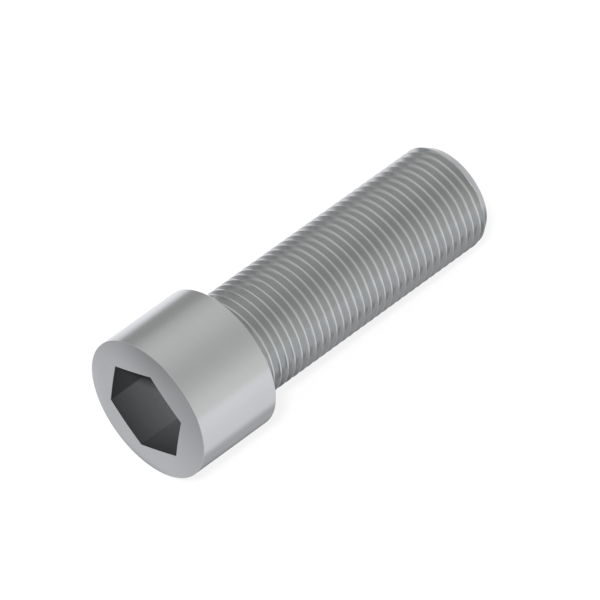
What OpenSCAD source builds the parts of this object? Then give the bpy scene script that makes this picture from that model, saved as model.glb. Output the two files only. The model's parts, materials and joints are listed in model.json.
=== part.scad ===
// Cheese head screw with a hexagon socket, threaded over its whole shank, lying on its side.
// The axis runs along X. The origin is the middle of the bearing face under the head, the head is
// on the side of minus X and the point on the side of plus X, and Z is up.
// It is one forging, turned all over, so its outline is one profile spun round the axis, and the
// hexagon socket is sunk into the crowned end. The thread has its true section, but its grooves are
// plain rings here, one for each turn, and don't climb round the shank.

/* [Head] */
// Diameter of the head
head_d = 24; // [20:0.5:40]
// Height of the head, from its bearing face to the flats of the socket's mouth
head_h = 16; // [12:0.5:30]
// Rise of the crowned end face, from its rim to the axis
crown_h = 0.8; // [0.1:0.1:2]
// Edge break round the bearing face
bearing_break = 0.3; // [0.1:0.1:1]

/* [Socket] */
// Width of the hexagon socket across its flats
socket_af = 14.1; // [8:0.1:16]
// Depth of the hexagon, from the flats of its mouth
socket_depth = 8; // [4:0.5:9]
// Depth of the shallow cone that the pilot drill leaves under the hexagon
socket_cone_h = 1.6; // [0.4:0.1:2.4]
// Ledge between the cone and the flats of the hexagon
socket_ledge = 0.3; // [0.1:0.1:2]
// Turn of the hexagon about the axis, from standing on one of its corners
socket_turn = 8.3; // [0:0.1:60]

/* [Shank] */
// Length of the screw from its bearing face to the end of the point
length = 50; // [20:1:120]
// Radius of the fillet between the bearing face and the shank
fillet_r = 0.6; // [0.2:0.1:0.8]
// Length of the plain neck, from the bearing face to the first groove of the thread
neck_l = 1; // [0.8:0.1:4]
// Major diameter of the thread, over its crests
thread_d = 17.75; // [16:0.05:19]
// Distance of the thread from crest to crest
pitch = 1.5; // [1:0.25:2.5]
// Diameter of the flat end of the point
point_d = 15.8; // [10:0.1:17]
// Length of the cone from the thread's full diameter to the flat end
point_l = 1.5; // [0.5:0.1:4]

/* [Hidden] */
$fn = 96;

head_r = head_d / 2;
thread_r = thread_d / 2;
point_r = point_d / 2;
// The crown is a cap of a sphere, which rises crown_h over the whole head
crown_r = (pow(head_r, 2) + pow(crown_h, 2)) / (2 * crown_h);
// Drop of the crown from its top to the flats of the socket's mouth
mouth_drop = crown_r - sqrt(pow(crown_r, 2) - pow(socket_af / 2, 2));
// Height of the crown's top, which is inside the socket's mouth
crown_top = head_h + mouth_drop;
// Radius of the socket's corners
socket_r = socket_af / sqrt(3);
// Radius of the cone's rim
cone_r = socket_af / 2 - socket_ledge;
// Width of the flat crests and of the grooves' bottoms, which are set shares of the pitch
crest_w = pitch / 8;
groove_bottom_w = pitch / 6;
// Width of a groove between two crests
groove_w = pitch - crest_w;
// Slope of a groove's flanks from a plane across the axis, half of the thread's 60 degrees
flank_angle = 30;
// Radius of the grooves' bottoms
root_r = thread_r - (groove_w - groove_bottom_w) / 2 / tan(flank_angle);
// Every groove that starts before the cone of the point is cut
groove_count = ceil((length - point_l - neck_l) / pitch);
// How far cuts run past the faces that they open
past = 1;

// Half section of the head, with its height along minus Y
module head_profile() {
    intersection() {
        polygon([
            [0, -crown_top],
            [head_r, -crown_top],
            [head_r, -bearing_break],
            [head_r - bearing_break, 0],
            [0, 0]
        ]);
        translate([0, crown_r - crown_top])
            circle(r = crown_r);
    }
}

// Half section of the shank as it is before its thread, with its length along plus Y, from inside
// the head to the point
module shank_profile() {
    polygon([
        [0, -past],
        [thread_r, -past],
        [thread_r, length - point_l],
        [point_r, length],
        [0, length]
    ]);
}

// Section of one groove, centred on Y, whose flanks run on past the crests
module groove_profile() {
    mouth_w = groove_w + 2 * past * tan(flank_angle);
    polygon([
        [root_r, -groove_bottom_w / 2],
        [thread_r + past, -mouth_w / 2],
        [thread_r + past, mouth_w / 2],
        [root_r, groove_bottom_w / 2]
    ]);
}

// Half section of the threaded shank, with one groove for each turn
module threaded_profile() {
    difference() {
        shank_profile();
        for (turn = [0 : groove_count - 1])
            translate([0, neck_l + groove_w / 2 + turn * pitch])
                groove_profile();
    }
}

// Hollow corner between the bearing face and the shank
module fillet_profile() {
    difference() {
        translate([thread_r - fillet_r, -fillet_r])
            square(2 * fillet_r);
        translate([thread_r + fillet_r, fillet_r])
            circle(r = fillet_r);
    }
}

// Head and shank, spun round the axis as they are turned
module turned_blank() {
    rotate([0, 90, 0])
        rotate_extrude() {
            head_profile();
            threaded_profile();
            fillet_profile();
        }
}

// Hexagon with two corners up and down before its turn, over the cone that the drill leaves
module hexagon_socket() {
    translate([-head_h, 0, 0])
        rotate([socket_turn, 0, 0])
            rotate([0, 90, 0]) {
                translate([0, 0, -past])
                    linear_extrude(height = socket_depth + past)
                        circle(r = socket_r, $fn = 6);
                translate([0, 0, socket_depth])
                    cylinder(h = socket_cone_h, r1 = cone_r, r2 = 0);
            }
}

module screw() {
    color([0.66, 0.67, 0.66])
        difference() {
            turned_blank();
            hexagon_socket();
        }
}

screw();
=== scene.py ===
import json
import math

import bmesh
import bpy
from mathutils import Matrix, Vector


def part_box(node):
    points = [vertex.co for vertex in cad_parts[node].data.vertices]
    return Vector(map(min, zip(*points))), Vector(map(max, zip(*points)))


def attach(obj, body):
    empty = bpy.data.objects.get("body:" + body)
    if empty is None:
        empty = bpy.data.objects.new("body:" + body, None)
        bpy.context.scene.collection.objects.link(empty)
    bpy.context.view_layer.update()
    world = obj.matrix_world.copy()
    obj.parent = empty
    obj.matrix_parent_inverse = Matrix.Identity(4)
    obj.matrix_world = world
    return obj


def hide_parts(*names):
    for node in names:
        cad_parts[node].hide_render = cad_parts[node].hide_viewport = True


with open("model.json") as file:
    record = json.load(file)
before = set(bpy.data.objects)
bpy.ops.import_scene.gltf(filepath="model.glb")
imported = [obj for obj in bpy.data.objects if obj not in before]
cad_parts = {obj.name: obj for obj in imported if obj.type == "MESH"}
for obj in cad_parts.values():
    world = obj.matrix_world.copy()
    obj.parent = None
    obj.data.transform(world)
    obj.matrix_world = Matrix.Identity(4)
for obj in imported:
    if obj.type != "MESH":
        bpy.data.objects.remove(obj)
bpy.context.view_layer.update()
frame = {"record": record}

mm = 0.001

# Head of the screw, with its neck
# A plain cylinder with a shallow crown on its end, forged in one with the shank from steel bar, and
# then turned to size. Under it a small fillet runs into a short neck that the thread leaves plain.
low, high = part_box("screw")
mounts = {mount["name"]: mount for mount in frame["record"]["mounts"]}
head_radius = high.y
head_height = -low.x
thread_radius = mounts["thread"]["dims"]["r_mm"] * mm
crown_rise = 0.8 * mm
bearing_break = 0.3 * mm
fillet_radius = 0.6 * mm
neck_end = 1.0 * mm
socket_flat = 7.05 * mm
socket_corner = socket_flat / math.cos(math.pi / 6)
round_steps = 120
crown_rings = 8
fillet_steps = 6
join_width = 0.1 * mm
weld_distance = 0.002 * mm

crown_radius = (head_radius ** 2 + crown_rise ** 2) / (2 * crown_rise)
mouth_drop = crown_radius - math.sqrt(crown_radius ** 2 - socket_flat ** 2)


def crown_x(radius):
    """Place along the axis of the crowned end, at a radius."""
    return -head_height - mouth_drop + crown_radius - math.sqrt(crown_radius ** 2 - radius ** 2)


def arc(centre, radius, start, end, steps):
    """Points along a round stretch of an outline, with its angles in degrees from the axis."""
    angles = [math.radians(start + (end - start) * step / steps) for step in range(steps + 1)]
    return [(centre[0] + radius * math.cos(a), centre[1] + radius * math.sin(a)) for a in angles]


def outline_edges(mesh, outline):
    """Lays an outline of places along the axis and radii, and gives its vertices and edges."""
    chain = [mesh.verts.new((x, 0, radius)) for x, radius in outline]
    return chain + [mesh.edges.new(pair) for pair in zip(chain, chain[1:])]


def turn_round(mesh, outline):
    """Spins an outline once round the axis, as a lathe does."""
    bmesh.ops.spin(mesh, geom=outline_edges(mesh, outline), cent=(0, 0, 0), axis=(1, 0, 0),
                   dvec=(0, 0, 0), angle=math.tau, steps=round_steps, use_merge=True)


def ring_at(mesh, x):
    """The open edges that lie in the plane at x."""
    return [edge for edge in mesh.edges
            if edge.is_boundary and all(abs(vertex.co.x - x) < weld_distance for vertex in edge.verts)]


def spun_radius(vertex):
    """Distance of a vertex from the axis."""
    return math.hypot(vertex.co.y, vertex.co.z)


screw = bmesh.new()
turn_round(screw, [
    (crown_x(head_radius), head_radius),
    (-bearing_break, head_radius),
    (0, head_radius - bearing_break),
    *arc((fillet_radius, thread_radius + fillet_radius), fillet_radius, 180, 270, fillet_steps),
    (neck_end - join_width, thread_radius),
])

# Hexagon socket
# Punched into the forged end for a 14 mm key, with a shallow cone under it from the pilot drill.
# Its walls keep the duller skin of the forging, which is painted nearly black as a painted shade for the
# depth of the socket.
socket_depth = 8 * mm
socket_turn = math.radians(8.3)
cone_radius = 6.75 * mm
cone_depth = 1.6 * mm
edge_break = 0.03 * mm
broken_angle = math.radians(50)

socket_bottom = -head_height + socket_depth


def pull_out(mesh, edges):
    """Extrudes open edges, and gives the vertices of the new ring."""
    made = bmesh.ops.extrude_edge_only(mesh, edges=edges)["geom"]
    return [item for item in made if isinstance(item, bmesh.types.BMVert)]


upright = Matrix.Rotation(math.pi / 2, 4, "Y") @ Matrix.Rotation(math.pi / 2, 4, "Z")
mouth = bmesh.ops.create_circle(
    screw, cap_ends=False, segments=6, radius=socket_corner,
    matrix=Matrix.Translation((-head_height, 0, 0)) @ Matrix.Rotation(socket_turn, 4, "X") @ upright)
mouth_edges = list({edge for vertex in mouth["verts"] for edge in vertex.link_edges})
bmesh.ops.subdivide_edges(screw, edges=mouth_edges, cuts=round_steps // 6 - 1)
mouth_edges = [edge for edge in screw.edges if edge.is_wire]

crown = bmesh.ops.bridge_loops(screw, edges=mouth_edges + ring_at(screw, crown_x(head_radius)))
bmesh.ops.subdivide_edges(screw, edges=crown["edges"], cuts=crown_rings - 1, use_grid_fill=True)
for vertex in screw.verts:
    if vertex.co.x <= crown_x(head_radius) + weld_distance:
        vertex.co.x = crown_x(spun_radius(vertex))

mouth_edges = [edge for edge in screw.edges if edge.is_boundary and edge.verts[0].co.x < -head_height / 2]
for wall_foot in pull_out(screw, mouth_edges):
    wall_foot.co.x = socket_bottom
for cone_rim in pull_out(screw, ring_at(screw, socket_bottom)):
    cone_rim.co.yz *= cone_radius / spun_radius(cone_rim)
cone_tip = pull_out(screw, ring_at(screw, socket_bottom))
bmesh.ops.pointmerge(screw, verts=cone_tip, merge_co=(socket_bottom + cone_depth, 0, 0))

# Every edge of the head that turns by more than this angle is broken by a narrow flat
hard_edges = [edge for edge in screw.edges if edge.is_manifold and edge.calc_face_angle() > broken_angle]
bmesh.ops.bevel(screw, geom=hard_edges, offset=edge_break, offset_type="OFFSET", segments=1,
                profile=0.5, affect="EDGES", material=-1, clamp_overlap=True)

# Thread
# A right-hand thread of 60 degrees and 1.5 mm pitch, rolled into the steel of the whole shank. Its
# grooves fade in next to the neck, and run out on the chamfer of the point.
pitch = 1.5 * mm
crest = pitch / 6
root_radius = 0.06 * pitch
flank_angle = math.radians(30)
flank_steps = 3
root_steps = 6
shank_length = high.x
point_length = 1.5 * mm
point_radius = 7.9 * mm
thread_end = shank_length - 1.0 * mm
run_in = 0.9 * mm
run_out = 0.7 * mm
crest_phase = 0.77 * pitch
chamfer_margin = 0.2 * mm
least_climb = 0.01 * mm
cut_tolerance = 0.0001 * mm

flank_width = (pitch - crest) / 2 - root_radius * math.cos(flank_angle)
flank_depth = flank_width / math.tan(flank_angle)
root_low = thread_radius - flank_depth - root_radius / 2
first_turn = neck_end - 2 * pitch + crest_phase


def point_cone(x):
    """Radius of the chamfer on the point, at a place along the axis."""
    past_start = x - shank_length + point_length
    return thread_radius - past_start * (thread_radius - point_radius) / point_length


def flank(start, end):
    """Points inside a straight flank, which let its end follow the chamfer."""
    shares = [step / flank_steps for step in range(1, flank_steps)]
    return [(start[0] + share * (end[0] - start[0]), start[1] + share * (end[1] - start[1]))
            for share in shares]


groove = arc((pitch / 2, root_low + root_radius), root_radius, -150, -30, root_steps)
crest_end = (crest / 2, thread_radius)
next_crest = (pitch - crest / 2, thread_radius)
one_pitch = [
    (-crest / 2, thread_radius),
    crest_end,
    *flank(crest_end, groove[0]),
    *groove,
    *flank(groove[-1], next_crest),
    next_crest,
]
thread = bmesh.new()
bmesh.ops.spin(thread, geom=outline_edges(thread, one_pitch), cent=(0, 0, 0), axis=(1, 0, 0),
               dvec=(pitch / round_steps, 0, 0), angle=math.tau, steps=round_steps)
one_turn = bpy.data.meshes.new("one_turn")
thread.to_mesh(one_turn)
thread.clear()
turn_count = math.ceil((shank_length - first_turn) / pitch) + 1
for turn in range(turn_count):
    placed = one_turn.copy()
    placed.transform(Matrix.Translation((first_turn + turn * pitch, 0, 0)))
    thread.from_mesh(placed)
    bpy.data.meshes.remove(placed)
bpy.data.meshes.remove(one_turn)
bmesh.ops.remove_doubles(thread, verts=thread.verts, dist=weld_distance)

# The last flanks get more points, so that their crests follow the chamfer
last_flanks = [edge for edge in thread.edges
               if min(vertex.co.x for vertex in edge.verts) > shank_length - point_length - chamfer_margin
               and abs(spun_radius(edge.verts[0]) - spun_radius(edge.verts[1])) > least_climb]
bmesh.ops.subdivide_edges(thread, edges=last_flanks, cuts=2)
# The grooves grow deep over the run-in, and shallow again over the run-out
for vertex in thread.verts:
    radius = spun_radius(vertex)
    depth = min((vertex.co.x - neck_end) / run_in, (thread_end - vertex.co.x) / run_out, 1)
    depth = max(depth, 0) ** 2 * (3 - 2 * depth)
    wanted = thread_radius - depth * (thread_radius - radius)
    wanted = min(wanted, point_cone(vertex.co.x))
    vertex.co.y *= wanted / radius
    vertex.co.z *= wanted / radius
# What the turns reach past the neck and past the run-out is cut off
for place, side in ((neck_end, -1), (thread_end, 1)):
    bmesh.ops.bisect_plane(thread, geom=thread.verts[:] + thread.edges[:] + thread.faces[:],
                           dist=cut_tolerance, plane_co=(place, 0, 0), plane_no=(side, 0, 0),
                           clear_outer=True)

# Point
# The flat end of the shank, of the same steel, which leads the screw into its nut. It is turned to a
# chamfer on the lathe before the thread is rolled.
skin_start = 0.02 * mm
fine_weld_distance = 0.0005 * mm
sharp_angle = math.radians(24)

turn_round(thread, [
    (thread_end + join_width, point_cone(thread_end + join_width)),
    (shank_length - edge_break, point_cone(shank_length - edge_break)),
    (shank_length, point_radius - edge_break),
    (shank_length, point_radius / 2),
    (shank_length, 0),
])
bmesh.ops.remove_doubles(thread, verts=thread.verts, dist=weld_distance)
bmesh.ops.bridge_loops(
    thread, edges=ring_at(thread, thread_end) + ring_at(thread, thread_end + join_width))

# The shank is joined to the neck of the head, so that the screw is one piece
shank = bpy.data.meshes.new("shank")
thread.to_mesh(shank)
thread.free()
screw.from_mesh(shank)
bpy.data.meshes.remove(shank)
bmesh.ops.bridge_loops(screw, edges=ring_at(screw, neck_end - join_width) + ring_at(screw, neck_end))
bmesh.ops.remove_doubles(screw, verts=screw.verts, dist=fine_weld_distance)
bmesh.ops.recalc_face_normals(screw, faces=screw.faces)

# The turned steel has slot 0, the skin in the socket slot 1 and the rolled thread slot 2
for face in screw.faces:
    centre = face.calc_center_median()
    radius = math.hypot(centre.y, centre.z)
    if centre.x < 0 and radius < socket_corner and centre.x > crown_x(radius) + skin_start:
        face.material_index = 1
    elif neck_end < centre.x < thread_end:
        face.material_index = 2

screw_mesh = bpy.data.meshes.new("threaded_screw")
screw.to_mesh(screw_mesh)
screw.free()
# The shading runs smoothly round the bottoms of the grooves, and breaks at every sharper edge
screw_mesh.shade_smooth()
screw_mesh.set_sharp_from_angle(angle=sharp_angle)
threaded_screw = bpy.data.objects.new("threaded_screw", screw_mesh)
bpy.context.scene.collection.objects.link(threaded_screw)

# Finish of the steel
# Bare satin steel with fine lines round the axis, which the lathe leaves on the head and the point and
# the rolling dies on the slightly darker thread. The socket has the dull skin of the forging, painted
# nearly black as a painted shade for the depth of the socket.


def new_node(tree, kind, **settings):
    """Adds a node to a tree, with its settings."""
    node = tree.nodes.new(kind)
    for name, value in settings.items():
        setattr(node, name, value)
    return node


def math_node(tree, operation, first, second=0.0, third=0.0):
    """Adds a math node, whose inputs are sockets or numbers, and gives its result."""
    node = new_node(tree, "ShaderNodeMath", operation=operation)
    for socket, value in zip(node.inputs, (first, second, third)):
        if isinstance(value, bpy.types.NodeSocket):
            tree.links.new(value, socket)
        else:
            socket.default_value = value
    return node.outputs[0]


def lathe_lines_group():
    """Fine lines round the axis and broad soft patches, as values from 0 to 1."""
    group = bpy.data.node_groups.new("lathe_lines", "ShaderNodeTree")
    for name, kind in (("Position", "NodeSocketVector"), ("Lines", "NodeSocketFloat"),
                       ("Patches", "NodeSocketFloat")):
        group.interface.new_socket(name=name, in_out="INPUT", socket_type=kind)
    for name in ("Line", "Patch"):
        group.interface.new_socket(name=name, in_out="OUTPUT", socket_type="NodeSocketFloat")
    given = new_node(group, "NodeGroupInput")
    result = new_node(group, "NodeGroupOutput")
    parts = new_node(group, "ShaderNodeSeparateXYZ")
    group.links.new(given.outputs["Position"], parts.inputs[0])
    squares = math_node(group, "ADD", math_node(group, "MULTIPLY", parts.outputs["Y"], parts.outputs["Y"]),
                        math_node(group, "MULTIPLY", parts.outputs["Z"], parts.outputs["Z"]))
    along = math_node(group, "ADD", math_node(group, "SQRT", squares), parts.outputs["X"])
    stretched = new_node(group, "ShaderNodeCombineXYZ")
    for name, value, fineness in (("X", along, "Lines"), ("Y", parts.outputs["Y"], "Patches"),
                                  ("Z", parts.outputs["Z"], "Patches")):
        group.links.new(math_node(group, "MULTIPLY", value, given.outputs[fineness]), stretched.inputs[name])
    lines = new_node(group, "ShaderNodeTexNoise")
    lines.inputs["Scale"].default_value = 1
    lines.inputs["Detail"].default_value = 3
    group.links.new(stretched.outputs[0], lines.inputs["Vector"])
    patches = new_node(group, "ShaderNodeTexNoise")
    patches.inputs["Detail"].default_value = 2
    group.links.new(given.outputs["Position"], patches.inputs["Vector"])
    group.links.new(given.outputs["Patches"], patches.inputs["Scale"])
    group.links.new(lines.outputs[0], result.inputs["Line"])
    group.links.new(patches.outputs[0], result.inputs["Patch"])
    return group


lathe_lines = lathe_lines_group()


def steel(name, dark, light, metallic, smooth, rough, lines, patches, groove_height):
    """A steel whose tone and gloss vary along its lines, which also stand up a little."""
    line_share = 0.6
    material = bpy.data.materials.new(name)
    material.use_nodes = True
    tree = material.node_tree
    shader = tree.nodes["Principled BSDF"]
    shader.inputs["Metallic"].default_value = metallic
    place = new_node(tree, "ShaderNodeTexCoord")
    grain = new_node(tree, "ShaderNodeGroup", node_tree=lathe_lines)
    tree.links.new(place.outputs["Object"], grain.inputs["Position"])
    grain.inputs["Lines"].default_value = lines
    grain.inputs["Patches"].default_value = patches
    blend = math_node(tree, "MULTIPLY_ADD", grain.outputs["Line"], line_share,
                      math_node(tree, "MULTIPLY", grain.outputs["Patch"], 1 - line_share))
    tone = new_node(tree, "ShaderNodeMix", data_type="RGBA")
    tone.inputs["A"].default_value = (*dark, 1)
    tone.inputs["B"].default_value = (*light, 1)
    tree.links.new(blend, tone.inputs["Factor"])
    tree.links.new(tone.outputs["Result"], shader.inputs["Base Color"])
    gloss = new_node(tree, "ShaderNodeMapRange")
    gloss.inputs["To Min"].default_value = smooth
    gloss.inputs["To Max"].default_value = rough
    tree.links.new(blend, gloss.inputs["Value"])
    tree.links.new(gloss.outputs["Result"], shader.inputs["Roughness"])
    bump = new_node(tree, "ShaderNodeBump")
    bump.inputs["Strength"].default_value = 1
    bump.inputs["Distance"].default_value = groove_height
    tree.links.new(grain.outputs["Line"], bump.inputs["Height"])
    tree.links.new(bump.outputs["Normal"], shader.inputs["Normal"])
    return material


screw_mesh.materials.append(steel(
    "turned_steel", dark=(0.57, 0.58, 0.575), light=(0.63, 0.64, 0.635), metallic=1, smooth=0.12, rough=0.26,
    lines=9000, patches=150, groove_height=0.0002 * mm))
# The skin in the socket is painted nearly black as painted shade. Its colour is darkest at its mouth, a
# painted shade, and lighter below, a painted light
socket_steel = steel(
    "socket_steel", dark=(0.043, 0.045, 0.047), light=(0.057, 0.059, 0.061), metallic=0, smooth=0.5,
    rough=0.6, lines=4000, patches=400, groove_height=0.0004 * mm)
tree = socket_steel.node_tree
skin = tree.nodes["Principled BSDF"].inputs["Base Color"]
parts = new_node(tree, "ShaderNodeSeparateXYZ")
tree.links.new(new_node(tree, "ShaderNodeTexCoord").outputs["Object"], parts.inputs[0])
socket_painted_light = new_node(tree, "ShaderNodeMapRange")
for name, value in (("From Min", -head_height), ("From Max", socket_bottom), ("To Min", 0.5),
                    ("To Max", 1.9)):
    socket_painted_light.inputs[name].default_value = value
tree.links.new(parts.outputs["X"], socket_painted_light.inputs["Value"])
socket_painted_tone = new_node(tree, "ShaderNodeVectorMath", operation="SCALE")
tree.links.new(skin.links[0].from_socket, socket_painted_tone.inputs[0])
tree.links.new(socket_painted_light.outputs["Result"], socket_painted_tone.inputs["Scale"])
tree.links.new(socket_painted_tone.outputs[0], skin)
screw_mesh.materials.append(socket_steel)
screw_mesh.materials.append(steel(
    "thread_steel", dark=(0.55, 0.56, 0.555), light=(0.61, 0.62, 0.615), metallic=1, smooth=0.12, rough=0.22,
    lines=9000, patches=150, groove_height=0.0002 * mm))
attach(threaded_screw, "root")
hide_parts("screw")

# Floor
# A pale sheet, plain as the camera sees it, with painted shade and light where the steel mirrors it. The
# screw leans on the rim of its head and on the edge of its point, so the sheet slopes along it by under
# four degrees, and is level beyond both of its ends.
rise = (head_radius - thread_radius) / (shank_length - point_length + bearing_break)
sheet_reach = 3.0
slope_reach = 75 * mm

sheet = bmesh.new()
bmesh.ops.create_grid(sheet, x_segments=3, y_segments=1, size=1)
for vertex in sheet.verts:
    at_edge = abs(vertex.co.x) > 0.9
    slope_place = math.copysign(slope_reach, vertex.co.x)
    vertex.co.x = math.copysign(sheet_reach if at_edge else slope_reach, vertex.co.x)
    vertex.co.y *= sheet_reach
    vertex.co.z = -head_radius + rise * (slope_place + bearing_break)
floor_mesh = bpy.data.meshes.new("floor")
sheet.to_mesh(floor_mesh)
sheet.free()
floor = bpy.data.objects.new("floor", floor_mesh)
bpy.context.scene.collection.objects.link(floor)


def tone_ramp(tree, value, tones, interpolation):
    """Adds a colour ramp with these places and grey tones on a value, and gives its colour."""
    ramp = new_node(tree, "ShaderNodeValToRGB")
    ramp.color_ramp.interpolation = interpolation
    while len(ramp.color_ramp.elements) < len(tones):
        ramp.color_ramp.elements.new(0.5)
    for element, (position, tone) in zip(ramp.color_ramp.elements, tones):
        element.position = position
        element.color = (tone, tone, tone, 1)
    tree.links.new(value, ramp.inputs["Fac"])
    return ramp.outputs["Color"]


def fade(tree, place, direction, start, end, tones):
    """Adds a fade of a place along a direction, whose tones run from one distance in mm to another."""
    across = new_node(tree, "ShaderNodeVectorMath", operation="DOT_PRODUCT")
    tree.links.new(place, across.inputs[0])
    across.inputs[1].default_value = direction
    reach = new_node(tree, "ShaderNodeMapRange")
    reach.inputs["From Min"].default_value = start * mm
    reach.inputs["From Max"].default_value = end * mm
    tree.links.new(across.outputs["Value"], reach.inputs["Value"])
    return tone_ramp(tree, reach.outputs["Result"], tones, "LINEAR")


# Mirrored in the steel, the sheet is painted brightest behind the screw. These fades paint shade on it
# that the steel's reflections and bounced light see, while the camera sees it plain. Each fade has its
# direction, the distances in mm where it starts and ends, and its tones between them. The fades to the left
# and to the right stop in front of the screw. Two more darken the near left and the far left behind it, and
# one runs over the whole sheet from front to back.
left_fade = (
    (1, 0.6, 0), -70, 8,
    ((0.0, 0.85), (0.32, 0.58), (0.436, 0.54), (0.513, 0.63), (0.59, 0.71), (0.64, 0.76), (0.692, 0.76),
     (0.769, 0.71), (0.808, 0.79), (1.0, 1.0)))
right_fade = ((1, -0.3, 0), 40, 135, ((0.0, 1.0), (0.35, 0.68), (1.0, 0.66)))
front_part = ((0, 1, 0), -10, -6.5, ((0.0, 1.0), (1.0, 0.0)))
near_left_fade = (
    (1, -0.6, 0), -80, -15, ((0.0, 0.42), (0.31, 0.62), (0.54, 0.85), (0.77, 0.92), (1.0, 1.0)))
far_part = ((0, 1, 0), 36, 50, ((0.0, 0.0), (1.0, 1.0)))
far_left_fade = (
    (1, -0.25, 0), -130, 6,
    ((0.0, 0.54), (0.22, 0.48), (0.37, 0.39), (0.57, 0.36), (0.68, 0.43), (0.78, 0.53), (0.88, 0.65),
     (0.956, 0.92), (1.0, 1.0)))
near_part = ((0, 1, 0), 46, 60, ((0.0, 1.0), (1.0, 0.0)))
depth_fade = (
    (0, 1, 0), -60, 262,
    ((0.0, 0.94), (0.132, 0.86), (0.248, 1.0), (0.373, 1.0), (0.43, 0.93), (0.52, 0.77), (0.8, 0.7),
     (1.0, 0.69)))
# A deeper painted shadow right under the screw, seen in the steel, stops at the plane of its end face and
# beyond the point
painted_shade_under = (
    (0, 1, 0), -19, 22,
    ((0.0, 1.0), (0.07, 0.71), (0.105, 0.56), (0.15, 0.59), (0.22, 0.5), (0.27, 0.48), (0.3, 0.4),
     (0.76, 0.42), (1.0, 1.0)))
ends_of_shade = ((1, 0, 0), -16.5, 68, ((0.0, 1.0), (0.03, 0.0), (0.84, 0.0), (1.0, 1.0)))
# A share of the sheet's tone is its own glow, and the rest is what the lamp gives it
glow_seen = 0.85
glow_mirrored = 0.6
lit_tone = (0.725, 0.725, 0.757, 1)
# Painted reflection tint: the glow that the steel mirrors is a little bluer than the white that the camera
# sees
mirrored_tint = (0.955, 0.96, 1, 1)

paper = bpy.data.materials.new("pale_paper")
paper.use_nodes = True
paper.cycles.emission_sampling = "NONE"
tree = paper.node_tree
tree.nodes.remove(tree.nodes["Principled BSDF"])
ray = new_node(tree, "ShaderNodeLightPath")
place = new_node(tree, "ShaderNodeTexCoord").outputs["Object"]
sides = math_node(tree, "MULTIPLY", fade(tree, place, *left_fade), fade(tree, place, *right_fade))
sides = math_node(tree, "MAXIMUM", sides, fade(tree, place, *front_part))
under = math_node(tree, "MAXIMUM", fade(tree, place, *painted_shade_under), fade(tree, place, *ends_of_shade))
back = math_node(tree, "MAXIMUM", fade(tree, place, *near_left_fade), fade(tree, place, *far_part))
far = math_node(tree, "MAXIMUM", fade(tree, place, *far_left_fade), fade(tree, place, *near_part))
shade = math_node(tree, "MULTIPLY", sides, under)
for part in (back, far, fade(tree, place, *depth_fade)):
    shade = math_node(tree, "MULTIPLY", shade, part)
shade = math_node(tree, "MAXIMUM", shade, ray.outputs["Is Camera Ray"])
colour = new_node(tree, "ShaderNodeMix", data_type="RGBA")
colour.inputs["A"].default_value = (0, 0, 0, 1)
colour.inputs["B"].default_value = lit_tone
tree.links.new(shade, colour.inputs["Factor"])
lit = new_node(tree, "ShaderNodeBsdfDiffuse")
tree.links.new(colour.outputs["Result"], lit.inputs["Color"])
plain = new_node(tree, "ShaderNodeEmission")
tree.links.new(shade, plain.inputs["Strength"])
tint = new_node(tree, "ShaderNodeMix", data_type="RGBA")
tint.inputs["A"].default_value = mirrored_tint
tint.inputs["B"].default_value = (1, 1, 1, 1)
tree.links.new(ray.outputs["Is Camera Ray"], tint.inputs["Factor"])
tree.links.new(tint.outputs["Result"], plain.inputs["Color"])
seen = math_node(tree, "MULTIPLY", ray.outputs["Is Camera Ray"], glow_seen)
share = math_node(tree, "MULTIPLY_ADD", ray.outputs["Is Glossy Ray"], glow_mirrored, seen)
mix = new_node(tree, "ShaderNodeMixShader")
tree.links.new(share, mix.inputs["Fac"])
tree.links.new(lit.outputs[0], mix.inputs[1])
tree.links.new(plain.outputs[0], mix.inputs[2])
tree.links.new(mix.outputs[0], tree.nodes["Material Output"].inputs["Surface"])
floor_mesh.materials.append(paper)

# Light
# A pale studio room, darkest low down behind the point and brightest in front. One soft lamp, high up
# on the left and near the camera, lights the sheet and the socket, and puts the shadow behind the screw.
dark_side = (0.503, 0.845, 0.18)
room_tones = ((0.0, 0.92), (0.27, 0.88), (0.37, 0.68), (0.48, 0.58), (0.60, 0.57), (0.79, 0.72),
              (0.90, 0.72), (0.97, 0.6), (1.0, 0.36))

world = bpy.data.worlds.new("room")
bpy.context.scene.world = world
world.use_nodes = True
tree = world.node_tree
place = new_node(tree, "ShaderNodeTexCoord")
dot = new_node(tree, "ShaderNodeVectorMath", operation="DOT_PRODUCT")
tree.links.new(place.outputs["Generated"], dot.inputs[0])
dot.inputs[1].default_value = dark_side
turned = math_node(tree, "MULTIPLY_ADD", dot.outputs["Value"], 0.5, 0.5)
tree.links.new(tone_ramp(tree, turned, room_tones, "B_SPLINE"), tree.nodes["Background"].inputs["Color"])

lamp = bpy.data.lights.new("soft_lamp", "SUN")
lamp.energy = 3.6
lamp.angle = math.radians(8)
soft_lamp = bpy.data.objects.new("soft_lamp", lamp)
soft_lamp.rotation_euler = (math.radians(39), 0, math.radians(-55))
soft_lamp.visible_glossy = False
bpy.context.scene.collection.objects.link(soft_lamp)

# Camera
# It looks down on the screw from beside its head. Its lens is long, so the point looks hardly smaller
# than it would next to the head.
camera_turn = math.radians(-45.43)
camera_rise = math.radians(45.09)
camera_distance = 1077.38 * mm
camera_target = (17.07 * mm, 0.03 * mm, 0)

lens = bpy.data.cameras.new("camera")
lens.lens = 425.01
lens.sensor_width = 36
lens.clip_start = 0.01
lens.clip_end = 20
camera = bpy.data.objects.new("camera", lens)
camera.rotation_euler = (math.pi / 2 - camera_rise, 0, camera_turn)
camera.location = (
    camera_target[0] + camera_distance * math.sin(camera_turn) * math.cos(camera_rise),
    camera_target[1] - camera_distance * math.cos(camera_turn) * math.cos(camera_rise),
    camera_target[2] + camera_distance * math.sin(camera_rise),
)
bpy.context.scene.collection.objects.link(camera)
bpy.context.scene.camera = camera
bpy.context.scene.view_settings.view_transform = "Standard"
